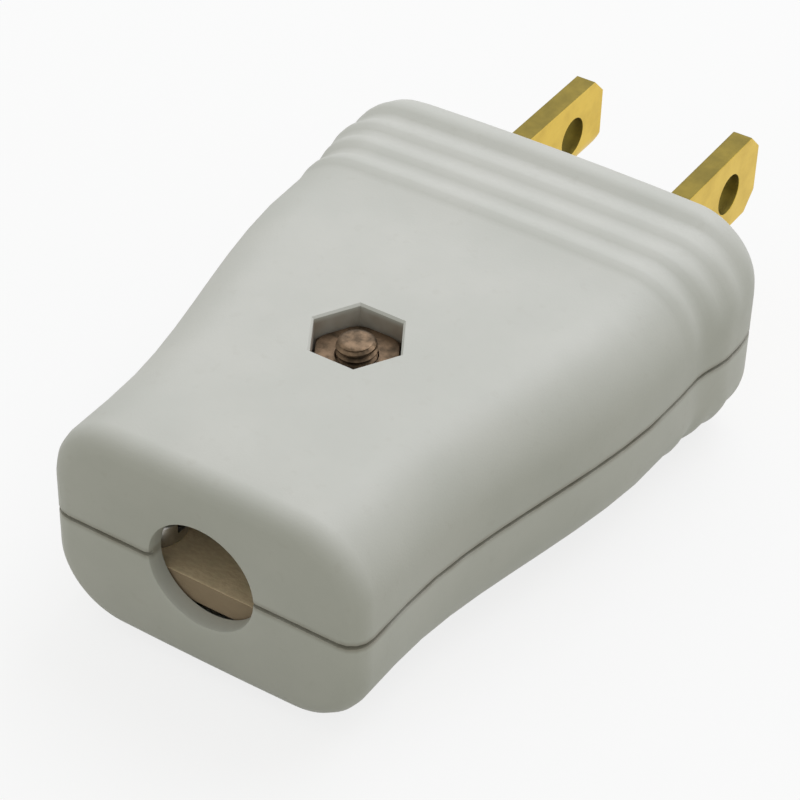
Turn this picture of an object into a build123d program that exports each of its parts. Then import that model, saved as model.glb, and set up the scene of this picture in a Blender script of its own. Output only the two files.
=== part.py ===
from build123d import *

import os
from math import atan2, cos, pi, sin, sqrt

# Rewirable two-pole plug with flat blades, held together by one screw and nut.
# X is the width, +Y the way the blades point and +Z the side of the nut. The origin lies on the
# blade face, midway between the blades, on the seam of the two halves. All sizes are in mm.

# Housing outline. Lengths at the cord end count from that end, lengths at the head from the blade face
housing_length = 41.5
housing_thickness = 15.2
cord_end_width = 22.4
shoulder_width = 30.3
collar_width = 31.6
straight_length = 5.0
flare_length = 25.0
side_step_back = 8.5
side_step_length = 3.5
crown_radius = 300.0
long_edge_radius = 4.9
cord_end_round = 1.5
head_round = 1.9
end_round_steps = 4
flare_steps = 9
ridge_steps = 5
plan_steps = 8
least_step = 0.03
head_taper = 0.9
head_taper_length = 4.0
seam_gap = 0.15
seam_gap_depth = 0.45
seam_corner_radius = 1.4

# Finger ridges and collar round the head
ridge_count = 3
ridge_pitch = 2.35
ridge_height = 0.34
collar_length = 3.55
collar_ramp = 1.3
collar_rise = 0.5

# Walls
wall = 2.2
cord_wall = 1.2
cavity_corner_radius = 1.0
blade_wall = 5.0

# Cord entry
cord_hole_radius = 3.7
cord_mouth_radius = 0.3

# Central screw, nut, and the bosses that they pull together
boss_from_cord_end = 16.4
boss_diameter = 9.6
pocket_depth = 3.6
pocket_rim = 0.15
screw_diameter = 2.6
screw_length = 11.3
screw_head_diameter = 5.0
screw_head_height = 2.0
slot_width = 0.8
slot_depth = 0.9
nut_flats = 5.2
nut_height = 2.2
nut_chamfer = 0.3

# Blades
blade_pitch = 12.7
blade_width = 6.35
blade_thickness = 1.5
blade_reach = 16.0
blade_tip_chamfer = 1.7
blade_tip_bevel = 0.4
blade_hole_diameter = 3.0
blade_hole_reach = 11.4
terminal_length = 8.0
terminal_width = 7.2
terminal_corner_radius = 0.8
bend_radius = 1.6

# Terminal screws and washers
terminal_screw_diameter = 3.0
terminal_screw_length = 4.0
terminal_head_diameter = 5.2
terminal_head_height = 2.0
washer_diameter = 5.4
washer_thickness = 0.5

# Cord clamp
clamp_back = 0.15
clamp_width = 5.0
clamp_length = 17.0
clamp_thickness = 1.8
clamp_under_seam = 3.6
clamp_corner_radius = 1.0
clamp_screw_pitch = 12.6
clamp_screw_diameter = 2.6
clamp_screw_length = 5.0
clamp_head_diameter = 4.4
clamp_head_height = 1.7
clamp_post_diameter = 5.0

# Pins of the lower half that stand in holes of the upper one, in the thick wall at the head
pin_diameter = 1.8
pin_height = 1.2
pin_pitch = 22.6
pin_from_face = 2.6

# Ribs inside the halves, and how far they run into the wall that carries them
rib_thickness = 1.3
rib_root = 0.5
barrier_gap = 0.15

# Clearances
pocket_clearance = 0.15
slot_clearance = 0.12
hole_clearance = 0.15
thread_clearance = 0.05
seat_clearance = 0.1

cord_end = -housing_length
boss_y = cord_end + boss_from_cord_end
blade_x = blade_pitch / 2
terminal_rear = -blade_wall - seat_clearance - terminal_length
terminal_y = -blade_wall - seat_clearance - terminal_length / 2
terminal_floor = -blade_width / 2
terminal_outer = blade_x - blade_thickness / 2 + terminal_width
terminal_x = (blade_x + blade_thickness / 2 + terminal_outer) / 2
terminal_top = terminal_floor + blade_thickness
clamp_front = cord_end + cord_wall + clamp_back
clamp_y = clamp_front + clamp_width / 2
pocket_floor = housing_thickness / 2 - pocket_depth
cavity_height = housing_thickness / 2 - wall
ridge_start = -collar_length - ridge_count * ridge_pitch


def ease(share):
    """A smooth rise from 0 to 1, level at both ends."""
    share = min(max(share, 0.0), 1.0)
    return share * share * (3 - 2 * share)


def set_in(distance, radius):
    """How far a quarter round stands in from full size, at a distance from the end that it rounds."""
    short = max(radius - distance, 0.0)
    return radius - sqrt(radius**2 - short**2)


def outer_half_width(y):
    """Half the width: straight, flared to the shoulder, stepped out to the collar, drawn in a little."""
    flare = ease((y - cord_end - straight_length) / flare_length)
    step = ease((y + side_step_back) / side_step_length)
    drawn_in = head_taper * max(1 + y / head_taper_length, 0) ** 2
    width = cord_end_width + (shoulder_width - cord_end_width) * flare
    width += (collar_width - shoulder_width) * step
    return width / 2 - drawn_in


def outer_half_height(y):
    """Half the housing's thickness: level, then three ridges and the raised collar."""
    height = housing_thickness / 2
    if ridge_start < y < -collar_length:
        height += ridge_height * (1 - cos(2 * pi * (y - ridge_start) / ridge_pitch)) / 2
    return height + collar_rise * ease((y + collar_length) / collar_ramp)


def half_section(y, half_width, half_height, corner_radius):
    """One half of a cross-section: rounded sides, crowned top, and a foot below the seam."""
    crown_centre = half_height - crown_radius
    reach = crown_radius - corner_radius
    corner_x = half_width - corner_radius
    corner_z = crown_centre + sqrt(reach**2 - corner_x**2)
    top_angle = atan2(corner_z - crown_centre, corner_x)
    middle_x = corner_x + corner_radius * cos(top_angle / 2)
    middle_z = corner_z + corner_radius * sin(top_angle / 2)
    top_x = corner_x + corner_radius * cos(top_angle)
    top_z = corner_z + corner_radius * sin(top_angle)
    outline = Polyline(
        (-half_width, corner_z), (-half_width, -wall), (half_width, -wall), (half_width, corner_z)
    )
    outline += ThreePointArc((half_width, corner_z), (middle_x, middle_z), (top_x, top_z))
    outline += ThreePointArc((top_x, top_z), (0, half_height), (-top_x, top_z))
    outline += ThreePointArc((-top_x, top_z), (-middle_x, middle_z), (-half_width, corner_z))
    return Plane(origin=(0, y, 0), x_dir=(1, 0, 0), z_dir=(0, -1, 0)) * make_face(outline)


def above_seam(half):
    """What is left of a half once everything below the seam is cut away."""
    below = Pos(0, cord_end / 2, 0) * Box(
        2 * collar_width, 2 * housing_length, 2 * wall, align=(Align.CENTER, Align.CENTER, Align.MAX)
    )
    return half - below


def plan_outline(drawn_in, rear, front, corner_radius):
    """The housing's plan between two places along it, drawn in from its sides, with rounded corners."""
    side = []
    for step in range(plan_steps + 1):
        y = rear + (front - rear) * step / plan_steps
        side.append((outer_half_width(min(y, -side_step_back)) - drawn_in, y))
    outline = Line((-side[0][0], rear), side[0]) + Spline(*side)
    outline += Line(side[-1], (-side[-1][0], front))
    outline += Spline(*[(-x, y) for x, y in reversed(side)])
    plan = make_face(outline)
    return fillet(plan.vertices(), corner_radius)


def outer_stations():
    """Places of the cross-sections: even along the flare, close over the ridges and the rounded ends."""
    round_shares = [1 - cos(pi / 2 * step / end_round_steps) for step in range(end_round_steps + 1)]
    flare_start = cord_end + straight_length
    stations = [cord_end + cord_end_round * share for share in round_shares]
    stations += [flare_start + flare_length * step / flare_steps for step in range(flare_steps)]
    ridge_step = ridge_pitch / ridge_steps
    stations += [ridge_start + ridge_step * step for step in range(ridge_steps * ridge_count + 1)]
    stations += [-collar_length + collar_ramp * step / 3 for step in (1, 2, 3)]
    stations += [-head_round * share for share in round_shares]
    stations.sort()
    kept = stations[:1]
    for place in stations[1:-1]:
        if min(place - kept[-1], stations[-1] - place) > least_step:
            kept.append(place)
    return kept + stations[-1:]


def outer_half():
    """The solid upper half of the housing, before anything is cut from it."""
    sections = []
    for y in outer_stations():
        drawn_in = set_in(y - cord_end, cord_end_round) + set_in(-y, head_round)
        half_width = outer_half_width(y) - drawn_in
        half_height = outer_half_height(y) - drawn_in
        sections.append(half_section(y, half_width, half_height, long_edge_radius - drawn_in))
    half = above_seam(loft(sections, ruled=True))
    slab = Pos(0, cord_end / 2, 0) * Box(2 * collar_width, 2 * housing_length, 2 * seam_gap)
    land = plan_outline(seam_gap_depth, cord_end + seam_gap_depth, -seam_gap_depth, seam_corner_radius)
    return half - (slab - extrude(land, 2 * seam_gap))


def cavity_half():
    """The room inside one half, which follows the outline at the wall's thickness."""
    room = plan_outline(wall, cord_end + cord_wall, -blade_wall, cavity_corner_radius)
    return extrude(room, cavity_height) + extrude(room, -wall)


def cord_entry():
    """The round hole through the cord end, with its mouth turned out in two steps."""
    mouth = cord_hole_radius + cord_mouth_radius
    slope = cord_mouth_radius * (1 - sqrt(0.5))
    outline = Polyline(
        (cord_hole_radius, cord_end + cord_mouth_radius),
        (cord_hole_radius, cord_end + cord_wall + rib_root),
        (0, cord_end + cord_wall + rib_root),
        (0, cord_end - rib_root),
        (mouth, cord_end - rib_root),
        (mouth, cord_end),
        (cord_hole_radius + slope, cord_end + slope),
        close=True,
    )
    return revolve(make_face(outline), Axis.Y)


def blade_slots():
    """The two slots in the wall at the head, cut for both halves at once."""
    width = blade_thickness + 2 * slot_clearance
    height = blade_width + 2 * slot_clearance
    slot = Box(width, 2 * (blade_wall + rib_root), height)
    return Pos(blade_x, 0, 0) * slot + Pos(-blade_x, 0, 0) * slot


def wall_rib(y_low, y_high, z_top):
    """A rib on each side, from just inside the blade to the side wall, up from the wall's inside."""
    x_low = blade_x - blade_thickness / 2
    x_high = outer_half_width(min(y_low, -side_step_back)) - wall + rib_root
    rib = Pos((x_low + x_high) / 2, (y_low + y_high) / 2, z_top) * Box(
        x_high - x_low,
        y_high - y_low,
        cavity_height + rib_root - z_top,
        align=(Align.CENTER, Align.CENTER, Align.MIN),
    )
    return rib + mirror(rib, about=Plane.YZ)


def locating_pins(radius, height):
    """Two round pins on the seam, one outside each blade."""
    pin = Cylinder(radius, 2 * height)
    return Pos(pin_pitch / 2, -pin_from_face, 0) * pin + Pos(-pin_pitch / 2, -pin_from_face, 0) * pin


def plain_half():
    """What both halves share: the shell, the boss for the screw and the barrier between the poles."""
    half = outer_half() - cavity_half()
    half += Pos(0, boss_y, 0) * Cylinder(
        boss_diameter / 2, cavity_height + rib_root, align=(Align.CENTER, Align.CENTER, Align.MIN)
    )
    barrier_rear = boss_y + boss_diameter / 2 - rib_root
    barrier_front = -blade_wall + rib_root
    half += Pos(0, (barrier_rear + barrier_front) / 2, barrier_gap) * Box(
        rib_thickness,
        barrier_front - barrier_rear,
        cavity_height + rib_root - barrier_gap,
        align=(Align.CENTER, Align.CENTER, Align.MIN),
    )
    half -= Pos(0, boss_y, 0) * Cylinder(screw_diameter / 2 + hole_clearance, 2 * housing_thickness)
    return half - cord_entry() - blade_slots()


def make_upper_shell():
    """The half on the nut's side, with a six-sided pocket and ribs that hold the blades down."""
    half = plain_half()
    flats = nut_flats / 2 + pocket_clearance
    top = housing_thickness / 2
    half -= Pos(0, boss_y, pocket_floor) * extrude(
        RegularPolygon(flats, 6, major_radius=False), 2 * pocket_depth
    )
    rim = [
        Pos(0, boss_y, top - pocket_rim) * RegularPolygon(flats, 6, major_radius=False),
        Pos(0, boss_y, top + pocket_rim) * RegularPolygon(flats + 2 * pocket_rim, 6, major_radius=False),
    ]
    half -= loft(rim)
    half -= locating_pins(pin_diameter / 2 + hole_clearance, pin_height + hole_clearance)
    hold_down = terminal_rear + rib_thickness
    return half + wall_rib(hold_down, hold_down + rib_thickness, blade_width / 2 + seat_clearance)


def make_lower_shell():
    """The half on the screw's side, with the blades' seats and the posts of the cord clamp.

    The terminal screws' ends stay clear of its floor, which is sunk below them where it would reach them.
    """
    half = plain_half()
    head_hole = screw_head_diameter / 2 + pocket_clearance
    half -= Pos(0, boss_y, pocket_floor) * Cylinder(
        head_hole, 2 * pocket_depth, align=(Align.CENTER, Align.CENTER, Align.MIN)
    )
    half -= Pos(0, boss_y, housing_thickness / 2) * Cone(
        head_hole - pocket_rim, head_hole + pocket_rim, 2 * pocket_rim
    )
    stop = terminal_rear - seat_clearance
    half += wall_rib(stop - rib_thickness, stop, -terminal_top)
    half += wall_rib(terminal_rear, terminal_rear + rib_thickness, -terminal_floor)
    half += wall_rib(-blade_wall - rib_thickness - seat_clearance, -blade_wall + rib_root, -terminal_floor)
    screw_end = terminal_screw_length - terminal_top - washer_thickness
    for side in (-1, 1):
        half -= Pos(side * terminal_x, terminal_y, 0) * Cylinder(
            terminal_screw_diameter / 2 + hole_clearance,
            screw_end + hole_clearance,
            align=(Align.CENTER, Align.CENTER, Align.MIN),
        )
        post = Pos(side * clamp_screw_pitch / 2, clamp_y, clamp_under_seam)
        half += post * Cylinder(
            clamp_post_diameter / 2,
            cavity_height + rib_root - clamp_under_seam,
            align=(Align.CENTER, Align.CENTER, Align.MIN),
        )
        half -= post * Cylinder(
            clamp_screw_diameter / 2 + thread_clearance,
            clamp_screw_length - clamp_thickness + hole_clearance,
            align=(Align.CENTER, Align.CENTER, Align.MIN),
        )
    return mirror(half + locating_pins(pin_diameter / 2, pin_height), about=Plane.XY)


def make_blade():
    """The right-hand blade: one stamped brass strip, with its terminal folded out level at the rear."""
    half_width = blade_width / 2
    outline = Polyline(
        (terminal_rear, -half_width),
        (blade_reach - blade_tip_chamfer, -half_width),
        (blade_reach, -half_width + blade_tip_chamfer),
        (blade_reach, half_width - blade_tip_chamfer),
        (blade_reach - blade_tip_chamfer, half_width),
        (terminal_rear, half_width),
        close=True,
    )
    strip = extrude(Plane.YZ * make_face(outline), blade_thickness)
    strip = Pos(blade_x - blade_thickness / 2, 0, 0) * strip
    tip = strip.faces().sort_by(Axis.Y)[-1]
    strip = chamfer(tip.edges().filter_by(Axis.Z), blade_tip_bevel)
    strip -= Pos(blade_x, blade_hole_reach, 0) * Rot(0, 90, 0) * Cylinder(
        blade_hole_diameter / 2, 2 * blade_thickness
    )
    terminal = Pos(blade_x - blade_thickness / 2, terminal_rear, terminal_floor) * Box(
        terminal_width, terminal_length, blade_thickness, align=Align.MIN
    )
    terminal = fillet(terminal.edges().filter_by(Axis.Z).sort_by(Axis.X)[-2:], terminal_corner_radius)
    blade = strip + terminal
    bend = blade.edges().filter_by(Axis.Y).sort_by(lambda edge: edge.center().X + edge.center().Z)[0]
    blade = fillet(bend, bend_radius)
    return blade - Pos(terminal_x, terminal_y, terminal_floor) * Cylinder(
        terminal_screw_diameter / 2 + thread_clearance, 3 * blade_thickness
    )


def slotted_screw(diameter, length, head_diameter, head_height):
    """A cheese-head screw that points down, with the underside of its head at the origin."""
    head = Cylinder(head_diameter / 2, head_height, align=(Align.CENTER, Align.CENTER, Align.MIN))
    head = chamfer(head.edges().sort_by(Axis.Z)[-1], head_height / 5)
    head -= Pos(0, 0, head_height) * Box(2 * head_diameter, slot_width, 2 * slot_depth)
    shank = Cylinder(diameter / 2, length, align=(Align.CENTER, Align.CENTER, Align.MAX))
    shank = chamfer(shank.edges().sort_by(Axis.Z)[0], diameter / 8)
    return head + shank


def washer():
    """A plain washer that lies on the origin's plane."""
    ring = Cylinder(washer_diameter / 2, washer_thickness, align=(Align.CENTER, Align.CENTER, Align.MIN))
    return ring - Cylinder(terminal_screw_diameter / 2 + hole_clearance, 2 * housing_thickness)


def make_nut():
    """The nut that sits in the six-sided pocket, with the corners of both faces turned off."""
    corner_radius = nut_flats / sqrt(3)
    turned = Cylinder(corner_radius, nut_height, align=(Align.CENTER, Align.CENTER, Align.MIN))
    turned = chamfer(turned.edges().filter_by(GeomType.CIRCLE), nut_chamfer / 2, nut_chamfer)
    nut = turned & extrude(RegularPolygon(nut_flats / 2, 6, major_radius=False), nut_height)
    nut -= Cylinder(screw_diameter / 2 + thread_clearance, 4 * nut_height)
    return Pos(0, boss_y, pocket_floor) * nut


def make_clamp_bar():
    """The fibre bar that is screwed down over the cord on two posts."""
    bar = Pos(0, clamp_y, -clamp_under_seam) * Box(
        clamp_length, clamp_width, clamp_thickness, align=(Align.CENTER, Align.CENTER, Align.MIN)
    )
    bar = fillet(bar.edges().filter_by(Axis.Z), clamp_corner_radius)
    for side in (-1, 1):
        bar -= Pos(side * clamp_screw_pitch / 2, clamp_y, 0) * Cylinder(
            clamp_screw_diameter / 2 + hole_clearance, housing_thickness
        )
    return bar


right_blade = make_blade()
terminal_washer = Pos(terminal_x, terminal_y, terminal_top) * washer()
terminal_screw = Pos(terminal_x, terminal_y, terminal_top + washer_thickness) * slotted_screw(
    terminal_screw_diameter, terminal_screw_length, terminal_head_diameter, terminal_head_height
)
clamp_screw = Pos(clamp_screw_pitch / 2, clamp_y, clamp_thickness - clamp_under_seam) * slotted_screw(
    clamp_screw_diameter, clamp_screw_length, clamp_head_diameter, clamp_head_height
)
assembly_screw = slotted_screw(screw_diameter, screw_length, screw_head_diameter, screw_head_height)

pieces = {
    "upper_shell": make_upper_shell(),
    "lower_shell": make_lower_shell(),
    "assembly_screw": Pos(0, boss_y, -pocket_floor) * Rot(180, 0, 0) * assembly_screw,
    "assembly_nut": make_nut(),
    "cord_clamp_bar": make_clamp_bar(),
}
paired = {
    "blade": right_blade,
    "terminal_washer": terminal_washer,
    "terminal_screw": terminal_screw,
    "cord_clamp_screw": clamp_screw,
}
for name, piece in paired.items():
    pieces["right_" + name] = piece
    pieces["left_" + name] = mirror(piece, about=Plane.YZ)

os.makedirs("parts", exist_ok=True)
for name, piece in pieces.items():
    export_step(piece, f"parts/{name}.step")
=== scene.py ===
from math import cos, pi, radians, sin

import bmesh
import bpy
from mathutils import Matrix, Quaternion, Vector


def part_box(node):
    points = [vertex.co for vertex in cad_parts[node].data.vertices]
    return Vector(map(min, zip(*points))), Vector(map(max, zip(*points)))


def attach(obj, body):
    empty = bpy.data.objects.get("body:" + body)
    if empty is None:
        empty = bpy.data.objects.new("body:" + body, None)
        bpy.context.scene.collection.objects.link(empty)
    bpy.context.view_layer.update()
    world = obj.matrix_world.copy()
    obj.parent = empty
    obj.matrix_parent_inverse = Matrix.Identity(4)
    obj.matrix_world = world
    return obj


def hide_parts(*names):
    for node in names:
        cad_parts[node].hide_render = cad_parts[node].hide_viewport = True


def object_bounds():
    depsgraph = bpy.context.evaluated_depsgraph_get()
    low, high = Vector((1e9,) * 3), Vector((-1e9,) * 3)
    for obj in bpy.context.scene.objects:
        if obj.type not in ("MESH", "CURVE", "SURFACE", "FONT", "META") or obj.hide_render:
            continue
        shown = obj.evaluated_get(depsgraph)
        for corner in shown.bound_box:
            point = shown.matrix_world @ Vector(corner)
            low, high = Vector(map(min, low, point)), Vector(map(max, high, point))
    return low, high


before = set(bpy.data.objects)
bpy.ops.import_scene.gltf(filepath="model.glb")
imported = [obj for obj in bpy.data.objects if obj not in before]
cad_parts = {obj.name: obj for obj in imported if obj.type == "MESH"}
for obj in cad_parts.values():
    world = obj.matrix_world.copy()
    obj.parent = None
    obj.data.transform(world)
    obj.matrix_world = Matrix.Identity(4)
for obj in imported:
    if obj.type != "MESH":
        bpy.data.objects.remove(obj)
cad_box = [list(corner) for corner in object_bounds()]
mm = 0.001

# Camera
# The photograph looks down on the cord end from its right, through a long lens, with the camera
# tipped a little to one side. The aim is the middle of the housing, on its seam.
side_angle = radians(32.22)
height_angle = radians(38.88)
tip_angle = radians(1.45)
aim = Vector((0, -20.75 * mm, 0))
camera_distance = 171.6 * mm
sensor_width = 36
lens_length = 121.8
shift_right = 0.0079
shift_up = -0.0052
nearest_seen = 5 * mm
towards_camera = Vector((
    sin(side_angle) * cos(height_angle),
    -cos(side_angle) * cos(height_angle),
    sin(height_angle),
))
level_turn = (-towards_camera).to_track_quat("-Z", "Y")
bpy.ops.object.camera_add(location=aim + towards_camera * camera_distance)
camera = bpy.context.object
camera.name = "photo_camera"
camera.rotation_mode = "QUATERNION"
camera.rotation_quaternion = level_turn @ Quaternion((0, 0, 1), tip_angle)
camera.data.sensor_width = sensor_width
camera.data.lens = lens_length
camera.data.shift_x = shift_right
camera.data.shift_y = shift_up
camera.data.clip_start = nearest_seen
bpy.context.scene.camera = camera
bpy.context.scene.view_settings.view_transform = "Standard"


# Floor and light
# A wide pale floor under the plug, two large soft lamps above and behind it, and a surround a little
# warmer than they are, so that the cord end and the sides lie in their own soft shade.
class Signal:
    """One output of a shader node, which the signs of arithmetic work on."""

    def __init__(self, finish, socket):
        self.finish = finish
        self.socket = socket

    def maths(self, operation, *values):
        return self.finish.node("ShaderNodeMath", {"operation": operation}, dict(enumerate(values)))

    def __add__(self, other):
        return self.maths("ADD", self, other)

    def __sub__(self, other):
        return self.maths("SUBTRACT", self, other)

    def __rsub__(self, other):
        return self.maths("SUBTRACT", other, self)

    def __mul__(self, other):
        return self.maths("MULTIPLY", self, other)

    def __abs__(self):
        return self.maths("ABSOLUTE", self)

    __radd__ = __add__
    __rmul__ = __mul__

    def largest(self, other):
        return self.maths("MAXIMUM", self, other)

    def rise(self, low, high):
        """0 below low, 1 above high and smooth between them."""
        limits = {"Value": self, "From Min": low, "From Max": high}
        return self.finish.node("ShaderNodeMapRange", {"interpolation_type": "SMOOTHSTEP"}, limits)


class Finish:
    """A node tree of a material or of the surround, filled one node at a time."""

    def __init__(self, name, owner=None):
        self.owner = owner or bpy.data.materials.new(name)
        self.owner.use_nodes = True
        self.tree = self.owner.node_tree
        self.tree.nodes.clear()

    def node(self, kind, settings=None, inputs=None, output=0):
        made = self.tree.nodes.new(kind)
        for name, value in (settings or {}).items():
            setattr(made, name, value)
        for name, value in (inputs or {}).items():
            if isinstance(value, Signal):
                self.tree.links.new(value.socket, made.inputs[name])
            else:
                made.inputs[name].default_value = value
        return Signal(self, made.outputs[output]) if len(made.outputs) else None

    def mix(self, share, first, second):
        """A colour between two others."""
        first, second = (c if isinstance(c, Signal) else (*c, 1) for c in (first, second))
        settings = {"data_type": "RGBA", "clamp_factor": True}
        return self.node("ShaderNodeMix", settings, {0: share, 6: first, 7: second}, 2)

    def place(self):
        """Object coordinates."""
        return self.node("ShaderNodeTexCoord", output="Object")

    def facing(self, axis):
        """1 where the surface faces along an axis, either way, and 0 where it lies along it."""
        return abs(self.along(self.node("ShaderNodeTexCoord", output="Normal"), axis))

    def along(self, vector, axis):
        """The part of a place or direction that lies along X, Y or Z."""
        return self.node("ShaderNodeSeparateXYZ", None, {0: vector}, axis)

    def stretched(self, place, scale):
        """A place that a pattern is drawn out along, by a scale for each axis."""
        return self.node("ShaderNodeVectorMath", {"operation": "MULTIPLY"}, {0: place, 1: scale})

    def grain(self, place, size, detail=3.0, harshness=0.5):
        """Noise about 0.5, with lumps of a size in metres."""
        inputs = {"Vector": place, "Scale": 1 / size, "Detail": detail, "Roughness": harshness}
        return self.node("ShaderNodeTexNoise", None, inputs)

    def bump(self, height, depth):
        """A relief on the surface, with its depth in metres."""
        inputs = {"Strength": 1.0, "Distance": depth, "Height": height}
        return self.node("ShaderNodeBump", None, inputs)

    def surface(self, inputs):
        shader = self.node("ShaderNodeBsdfPrincipled", None, inputs)
        self.node("ShaderNodeOutputMaterial", None, {"Surface": shader})
        return self.owner

    def metal(self, tone, roughness, relief):
        return self.surface({"Base Color": tone, "Metallic": 1.0, "Roughness": roughness, "Normal": relief})

    def looked_at(self):
        """1 for what the camera sees, straight or by way of metal or glass, and 0 for other light."""
        kinds = ("Is Camera Ray", "Is Glossy Ray", "Is Transmission Ray")
        straight, mirrored, through = (self.node("ShaderNodeLightPath", output=kind) for kind in kinds)
        return straight.largest(mirrored).largest(through)


floor_size = 3.0
pale_grey = (0.93, 0.93, 0.93, 1)
floor_glow = (0.975, 0.975, 0.975, 1)
floor_lit = (0.40, 0.40, 0.33, 1)
glow_share = 0.82
floor_finish = Finish("pale floor")
shaded = floor_finish.node("ShaderNodeBsdfDiffuse", None, {"Color": pale_grey})
glow = floor_finish.node("ShaderNodeEmission", None, {"Color": floor_glow, "Strength": 1.0})
seen = floor_finish.node("ShaderNodeMixShader", None, {0: glow_share, 1: shaded, 2: glow})
lit = floor_finish.node("ShaderNodeBsdfDiffuse", None, {"Color": floor_lit})
floor_mix = {0: floor_finish.looked_at(), 1: lit, 2: seen}
floor_shader = floor_finish.node("ShaderNodeMixShader", None, floor_mix)
floor_finish.node("ShaderNodeOutputMaterial", None, {"Surface": floor_shader})
bpy.ops.mesh.primitive_plane_add(size=floor_size, location=(0, 0, cad_box[0][2]))
floor = bpy.context.object
floor.name = "floor"
floor.data.materials.append(floor_finish.owner)

surround_level = 0.58
surround_tint = (0.992, 1.0, 0.93, 1)
surround = Finish("surround", bpy.context.scene.world or bpy.data.worlds.new("surround"))
bpy.context.scene.world = surround.owner
dim = surround.node("ShaderNodeBackground", None, {"Color": surround_tint, "Strength": surround_level})
pale = surround.node("ShaderNodeBackground", None, {"Color": pale_grey, "Strength": 1.0})
world_mix = {0: surround.looked_at(), 1: dim, 2: pale}
world_shader = surround.node("ShaderNodeMixShader", None, world_mix)
surround.node("ShaderNodeOutputWorld", None, {"Surface": world_shader})


lamp_colour = (0.90, 0.91, 1.0)
lamp_distance = 0.7
lamp_size = 0.5


def soft_lamp(name, direction, power):
    """A square lamp that shines at the middle of the plug."""
    direction = Vector(direction).normalized()
    bpy.ops.object.light_add(type="AREA", location=aim + direction * lamp_distance)
    lamp = bpy.context.object
    lamp.name = name
    lamp.rotation_mode = "QUATERNION"
    lamp.rotation_quaternion = direction.to_track_quat("Z", "Y")
    lamp.data.size = lamp_size
    lamp.data.energy = power
    lamp.data.color = lamp_colour


soft_lamp("lamp_above", (0.15, 0.55, 0.82), 2.2)
soft_lamp("lamp_rear_left", (-0.40, 0.65, 0.65), 0.8)

# Housing halves
# Two mouldings of off-white plastic with a fine satin skin, that meet on a shallow shadow gap. The tool
# leaves the gap's lips slightly rounded. Dust has settled in the gap. The pockets round the screw and nut
# carry painted shade, a brownish darkening with some grime in it.
merge_distance = 0.002 * mm
edge_angle = radians(32)
lip_angle = radians(50)
lip_radius = 0.16 * mm
lip_reach = 0.02 * mm
gap_half = 0.15 * mm
screw_y = -25.1 * mm


def select_only(piece):
    bpy.ops.object.select_all(action="DESELECT")
    piece.select_set(True)
    bpy.context.view_layer.objects.active = piece


def joined_copy(node, name):
    """A copy of a CAD node with its loose triangles joined into one skin."""
    piece = bpy.data.objects.new(name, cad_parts[node].data.copy())
    bpy.context.scene.collection.objects.link(piece)
    piece.data.materials.clear()
    select_only(piece)
    bpy.ops.mesh.customdata_custom_splitnormals_clear()
    bpy.ops.object.mode_set(mode="EDIT")
    bpy.ops.mesh.select_all(action="SELECT")
    bpy.ops.mesh.remove_doubles(threshold=merge_distance)
    bpy.ops.mesh.select_all(action="DESELECT")
    bpy.ops.object.mode_set(mode="OBJECT")
    return piece


def put_in_place(piece, finish, slot, *nodes):
    """Gives a piece its finish, hangs it on the root body and hides the CAD nodes it stands for."""
    piece.data.materials.append(finish)
    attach(piece, "root")
    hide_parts(*nodes)


def moulded_plastic():
    clean_colour, worn_colour = (0.575, 0.575, 0.535), (0.54, 0.545, 0.505)
    fleck_colour = (0.50, 0.495, 0.45)
    dust_colour = (0.26, 0.235, 0.18)
    pocket_shade_and_grime_colour = (0.30, 0.235, 0.18)
    dust_core, dust_reach = 0.10 * mm, 0.55 * mm
    pocket_inside, pocket_outside = 3.4 * mm, 3.9 * mm
    walls_top, face_height = 7.0 * mm, 7.5 * mm
    finish = Finish("off-white moulded plastic")
    place = finish.place()
    from_seam = abs(finish.along(place, "Z"))
    clouds = finish.grain(place, 9 * mm, 4, 0.6)
    flecks = finish.grain(place, 0.9 * mm, 2, 0.5)
    skin = finish.grain(place, 0.16 * mm, 2, 0.6)
    tone = finish.mix(clouds.rise(0.3, 0.7), clean_colour, worn_colour)
    tone = finish.mix(flecks.rise(0.62, 0.75) * 0.25, tone, fleck_colour)
    uneven = finish.grain(place, 2.4 * mm, 3, 0.6).rise(0.25, 0.75)
    seam = 1 - from_seam.rise(dust_core, dust_reach)
    dust = seam * (0.35 + 0.4 * uneven)
    tone = finish.mix(dust, tone, dust_colour)
    # Painted shade: the pockets round the assembly screw and nut, up to just under the outer faces, are
    # darkened with a brownish tone that is partly grime.
    from_screw = finish.node(
        "ShaderNodeVectorMath", {"operation": "DISTANCE"},
        {0: finish.stretched(place, (1, 1, 0)), 1: (0, screw_y, 0)}, "Value",
    )
    pocket = 1 - from_screw.rise(pocket_inside, pocket_outside)
    pocket = pocket * (1 - from_seam.rise(walls_top, face_height))
    tone = finish.mix(pocket * (0.35 + 0.45 * uneven), tone, pocket_shade_and_grime_colour)
    roughness = 0.44 + 0.1 * clouds + 0.12 * (skin - 0.5)
    relief = finish.bump(skin, 0.006 * mm)
    satin = {"Roughness": roughness, "IOR": 1.48, "Specular IOR Level": 0.45}
    return finish.surface({"Base Color": tone, "Normal": relief, **satin})


def select_edges(piece, wanted):
    """Selects the edges between two faces for which wanted(edge) is true, and stays in edit mode."""
    bpy.ops.object.mode_set(mode="EDIT")
    bpy.ops.mesh.select_mode(type="EDGE")
    bpy.ops.mesh.select_all(action="DESELECT")
    skin = bmesh.from_edit_mesh(piece.data)
    for edge in skin.edges:
        if len(edge.link_faces) == 2 and wanted(edge):
            edge.select_set(True)
    bmesh.update_edit_mesh(piece.data)


def outer_lip(edge):
    """An edge where the outside of a half turns into the shadow gap."""
    on_lip = all(abs(abs(end.co.z) - gap_half) < lip_reach for end in edge.verts)
    return on_lip and edge.is_convex and edge.calc_face_angle() > lip_angle


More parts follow.
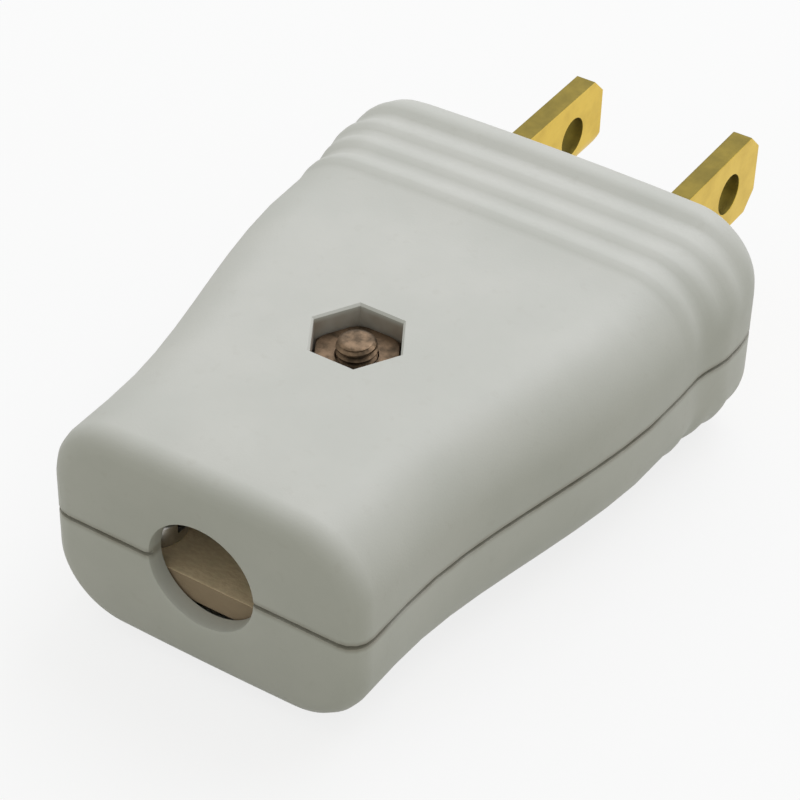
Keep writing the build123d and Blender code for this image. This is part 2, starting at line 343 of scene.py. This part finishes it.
plastic = moulded_plastic()
for half in ("upper_shell", "lower_shell"):
    moulding = joined_copy(half, half + "_moulding")
    select_edges(moulding, outer_lip)
    bpy.ops.mesh.bevel(offset=lip_radius, segments=3, affect="EDGES", clamp_overlap=True)
    bpy.ops.object.mode_set(mode="OBJECT")
    bpy.ops.object.shade_smooth_by_angle(angle=edge_angle)
    put_in_place(moulding, plastic, "shell_plastic", half)

# Blades
# Two strips of bare brass, stamped and then folded out at the rear into a terminal. Use has drawn fine
# lines along them. The sheared edges are duller than the rolled faces, and carry painted shade: a much
# darker colour.
blade_edge_radius = 0.09 * mm
sharp_angle = radians(40)
flat_angle = radians(0.5)


def stamped_brass():
    bright_colour, tarnished_colour = (0.77, 0.54, 0.07), (0.69, 0.48, 0.065)
    sheared_shade_colour = (0.12, 0.10, 0.025)
    finish = Finish("stamped blade brass")
    place = finish.place()
    # The narrow faces, all those not facing X, are rougher, and they carry painted shade: their colour is
    # painted far darker than the brass.
    sheared_dull_and_shaded = 1 - finish.facing("X").rise(0.35, 0.8)
    drawn = finish.stretched(place, (1, 0.05, 1))
    lines = finish.grain(drawn, 0.12 * mm, 3, 0.6)
    stains = finish.grain(place, 2.2 * mm, 4, 0.6)
    tone = finish.mix(stains.rise(0.35, 0.7), bright_colour, tarnished_colour)
    tone = finish.mix(sheared_dull_and_shaded * (0.75 + 0.25 * stains), tone, sheared_shade_colour)
    roughness = 0.26 + 0.18 * stains + 0.1 * lines + 0.14 * sheared_dull_and_shaded
    relief = finish.bump(lines, 0.004 * mm)
    return finish.metal(tone, roughness, relief)


def sharp_edge(edge):
    """An outer edge between two faces that meet well out of line."""
    return edge.is_convex and edge.calc_face_angle() > sharp_angle


def apply_modifiers(piece):
    select_only(piece)
    for modifier in list(piece.modifiers):
        bpy.ops.object.modifier_apply(modifier=modifier.name)


def shade_level(piece):
    """Smooth shading in which the large flat faces stay level up to their rounded edges."""
    select_only(piece)
    bpy.ops.object.shade_smooth_by_angle(angle=edge_angle)
    level = piece.modifiers.new("level faces", "WEIGHTED_NORMAL")
    level.keep_sharp = True
    apply_modifiers(piece)


def round_edges(piece, radius):
    """Rounds the outer edges, once the triangles of each flat face are merged into whole ones."""
    select_only(piece)
    bpy.ops.object.mode_set(mode="EDIT")
    bpy.ops.mesh.select_all(action="SELECT")
    bpy.ops.mesh.dissolve_limited(angle_limit=flat_angle)
    bpy.ops.object.mode_set(mode="OBJECT")
    select_edges(piece, sharp_edge)
    bpy.ops.mesh.bevel(offset=radius, segments=2, affect="EDGES", clamp_overlap=True)
    bpy.ops.object.mode_set(mode="OBJECT")
    shade_level(piece)


blade_brass = stamped_brass()
for side in ("left", "right"):
    blade = joined_copy(side + "_blade", side + "_blade_strip")
    round_edges(blade, blade_edge_radius)
    put_in_place(blade, blade_brass, "blade_brass", side + "_blade")

# Assembly screw
# Dulled brown brass, with a turned cheese head, a sawn slot and a rolled thread. It comes up from the
# lower half, and the end of its thread stands a little out of the nut, just under the surface.
assembly_screw_sizes = {"head_height": 2.0 * mm, "diameter": 2.6 * mm, "pitch": 0.45 * mm}
slot_width = 0.8 * mm
slot_depth = 0.9 * mm
head_chamfer = 0.2 * mm
round_sides = 64
thread_sides = 24
rim_angle = radians(60)
sliver_length = 0.004 * mm
cut_tolerance = 0.001 * mm


def combine(piece, other, operation):
    """Cuts one closed mesh with another, or takes what they share."""
    cut = piece.modifiers.new("cut", "BOOLEAN")
    cut.operation = operation
    cut.solver = "EXACT"
    cut.object = other
    apply_modifiers(piece)
    bpy.data.objects.remove(other)
    bpy.ops.object.mode_set(mode="EDIT")
    bpy.ops.mesh.select_all(action="SELECT")
    bpy.ops.mesh.dissolve_degenerate(threshold=sliver_length)
    bpy.ops.object.mode_set(mode="OBJECT")


def turned_blank(radius, length, chamfer, low):
    """A round blank along Z with both rims turned off, its lower end at a height."""
    bpy.ops.object.select_all(action="DESELECT")
    middle = (0, 0, low + length / 2)
    bpy.ops.mesh.primitive_cylinder_add(vertices=round_sides, radius=radius, depth=length, location=middle)
    blank = bpy.context.object
    bpy.ops.object.transform_apply(location=True, rotation=False, scale=False)
    select_edges(blank, lambda edge: edge.calc_face_angle() > rim_angle)
    bpy.ops.mesh.bevel(offset=chamfer, segments=3, affect="EDGES")
    bpy.ops.object.mode_set(mode="OBJECT")
    return blank


def threaded_shank(radius, length, pitch):
    """A thread that hangs from the origin, wound from one tooth's profile and turned down to size."""
    tooth_depth = 0.6 * pitch
    flank, flat = 0.42 * pitch, 0.08 * pitch
    into_head = 0.3 * mm
    turned_off = 0.02 * mm
    crest = radius + turned_off
    foot = -length - 2.3 * pitch
    trimmed_at = -length - 0.5 * pitch
    spare_turns = 5
    tip_chamfer = 0.34 * radius
    bpy.ops.object.select_all(action="DESELECT")
    bpy.ops.mesh.primitive_plane_add(size=pitch, location=(crest, 0, foot))
    shank = bpy.context.object
    bpy.ops.object.transform_apply(location=True, rotation=False, scale=False)
    bpy.ops.object.mode_set(mode="EDIT")
    bpy.ops.mesh.select_mode(type="VERT")
    bpy.ops.mesh.select_all(action="SELECT")
    bpy.ops.mesh.merge(type="CENTER")
    for out, up in ((-tooth_depth, flank), (0, flat), (tooth_depth, flank), (0, flat)):
        bpy.ops.mesh.extrude_vertices_move(TRANSFORM_OT_translate={"value": (out, 0, up)})
    bpy.ops.object.mode_set(mode="OBJECT")
    winding = shank.modifiers.new("winding", "SCREW")
    winding.axis = "Z"
    winding.screw_offset = pitch
    winding.iterations = int(length / pitch) + spare_turns
    winding.steps = winding.render_steps = thread_sides
    winding.use_merge_vertices = True
    winding.merge_threshold = cut_tolerance
    apply_modifiers(shank)
    bpy.ops.object.mode_set(mode="EDIT")
    bpy.ops.mesh.select_all(action="SELECT")
    bpy.ops.mesh.remove_doubles(threshold=cut_tolerance)
    for height, up in ((trimmed_at, -1), (into_head, 1)):
        bpy.ops.mesh.select_all(action="SELECT")
        bpy.ops.mesh.bisect(
            plane_co=(0, 0, height), plane_no=(0, 0, up),
            use_fill=True, clear_outer=True, threshold=cut_tolerance,
        )
    bpy.ops.mesh.select_all(action="SELECT")
    bpy.ops.mesh.normals_make_consistent(inside=False)
    bpy.ops.object.mode_set(mode="OBJECT")
    blank = turned_blank(radius, length + 2 * into_head, tip_chamfer, -length)
    combine(shank, blank, "INTERSECT")
    return shank


def slotted_screw(node, name, head_height, diameter, pitch, upside_down=False):
    """A cheese-head screw modelled on a CAD node's place and size."""
    lowest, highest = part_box(node)
    head_radius = (highest.x - lowest.x) / 2
    length = highest.z - lowest.z - head_height
    slot_length = 3 * head_radius
    screw = turned_blank(head_radius, head_height, head_chamfer, 0)
    bpy.ops.object.select_all(action="DESELECT")
    bpy.ops.mesh.primitive_cube_add(size=1, location=(0, 0, head_height))
    slot = bpy.context.object
    slot.scale = (slot_length, slot_width, 2 * slot_depth)
    bpy.ops.object.transform_apply(location=True, rotation=False, scale=True)
    combine(screw, slot, "DIFFERENCE")
    combine(screw, threaded_shank(diameter / 2, length, pitch), "UNION")
    screw.name = name
    if upside_down:
        bpy.ops.transform.rotate(value=pi, orient_axis="X", center_override=(0, 0, 0))
    under_head = lowest.z + head_height if upside_down else highest.z - head_height
    screw.location = ((lowest.x + highest.x) / 2, (lowest.y + highest.y) / 2, under_head)
    bpy.ops.object.transform_apply(location=True, rotation=True, scale=True)
    shade_level(screw)
    return screw


def dulled_brass():
    bare_colour, dull_colour = (0.215, 0.148, 0.092), (0.08, 0.058, 0.037)
    finish = Finish("dulled brown brass")
    place = finish.place()
    stains = finish.grain(place, 1.1 * mm, 4, 0.6)
    tone = finish.mix(stains.rise(0.35, 0.65), bare_colour, dull_colour)
    relief = finish.bump(stains, 0.02 * mm)
    return finish.metal(tone, 0.34 + 0.3 * stains, relief)


brown_brass = dulled_brass()
assembly_screw = slotted_screw(
    "assembly_screw", "assembly_screw_turned", upside_down=True, **assembly_screw_sizes
)
put_in_place(assembly_screw, brown_brass, "screw_brass", "assembly_screw")

# Assembly nut
# A six-sided nut of the same brass, cut from bar, with its corners turned off and its hole
# countersunk. It lies in the upper half's pocket, whose flats keep it from turning.
nut_edge_radius = 0.06 * mm
nut = joined_copy("assembly_nut", "assembly_nut_cut")
round_edges(nut, nut_edge_radius)
put_in_place(nut, brown_brass, "screw_brass", "assembly_nut")

# Terminal screws, washers and cord clamp screws
# Small plated steel fasteners, hidden once the plug is closed: two screws and plain washers that hold
# the wires down on the blades, and two screws for the clamp bar.
small_screws = {
    "terminal": {"head_height": 2.0 * mm, "diameter": 3.0 * mm, "pitch": 0.5 * mm},
    "cord_clamp": {"head_height": 1.7 * mm, "diameter": 2.6 * mm, "pitch": 0.45 * mm},
}


def plated_steel():
    plated_colour, dull_colour = (0.62, 0.61, 0.58), (0.45, 0.44, 0.41)
    finish = Finish("plated steel")
    place = finish.place()
    stains = finish.grain(place, 1.3 * mm, 4, 0.6)
    tone = finish.mix(stains.rise(0.35, 0.7), plated_colour, dull_colour)
    relief = finish.bump(stains, 0.006 * mm)
    return finish.metal(tone, 0.25 + 0.2 * stains, relief)


steel = plated_steel()
for side in ("left", "right"):
    for use, sizes in small_screws.items():
        node = side + "_" + use + "_screw"
        put_in_place(slotted_screw(node, node + "_turned", **sizes), steel, "screw_steel", node)
    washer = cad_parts[side + "_terminal_washer"]
    washer.data.materials.clear()
    washer.data.materials.append(steel)

# Cord clamp bar
# A bar of brown vulcanised fibre, screwed down across the cord's way. It shows through the cord entry,
# with painted light on it: its pressed faces, which lie in shade, are painted much paler than its lit sawn
# edges.
bar_edge_radius = 0.15 * mm


def brown_fibre():
    # Painted light: the pressed faces lie in shade inside the plug and are painted far paler than the fibre
    # is, while the sawn front takes the light through the cord entry and is painted dark, so that the two
    # look alike.
    pressed_painted_pale_colour, pressed_painted_deep_colour, pressed_painted_patch_colour = (0.90, 0.72, 0.48), (0.76, 0.58, 0.37), (0.66, 0.56, 0.34)
    sawn_painted_dark_colour, sawn_painted_dark_rough_colour = (0.30, 0.22, 0.145), (0.38, 0.29, 0.19)
    finish = Finish("brown fibre")
    place = finish.place()
    pressed_painted_paler = finish.facing("Z").rise(0.35, 0.8)
    strands = finish.grain(finish.stretched(place, (0.5, 1, 1)), 0.22 * mm, 4, 0.65)
    patches = finish.grain(place, 1.8 * mm, 3, 0.5)
    tone = finish.mix(strands.rise(0.3, 0.7), pressed_painted_pale_colour, pressed_painted_deep_colour)
    tone = finish.mix(patches.rise(0.45, 0.75) * 0.6, tone, pressed_painted_patch_colour)
    tone = finish.mix(pressed_painted_paler, finish.mix(strands, sawn_painted_dark_colour, sawn_painted_dark_rough_colour), tone)
    relief = finish.bump(strands, 0.03 * mm)
    return finish.surface({"Base Color": tone, "Roughness": 0.65 + 0.2 * strands, "Normal": relief})


bar = joined_copy("cord_clamp_bar", "cord_clamp_bar_sawn")
round_edges(bar, bar_edge_radius)
put_in_place(bar, brown_fibre(), "clamp_fibre", "cord_clamp_bar")
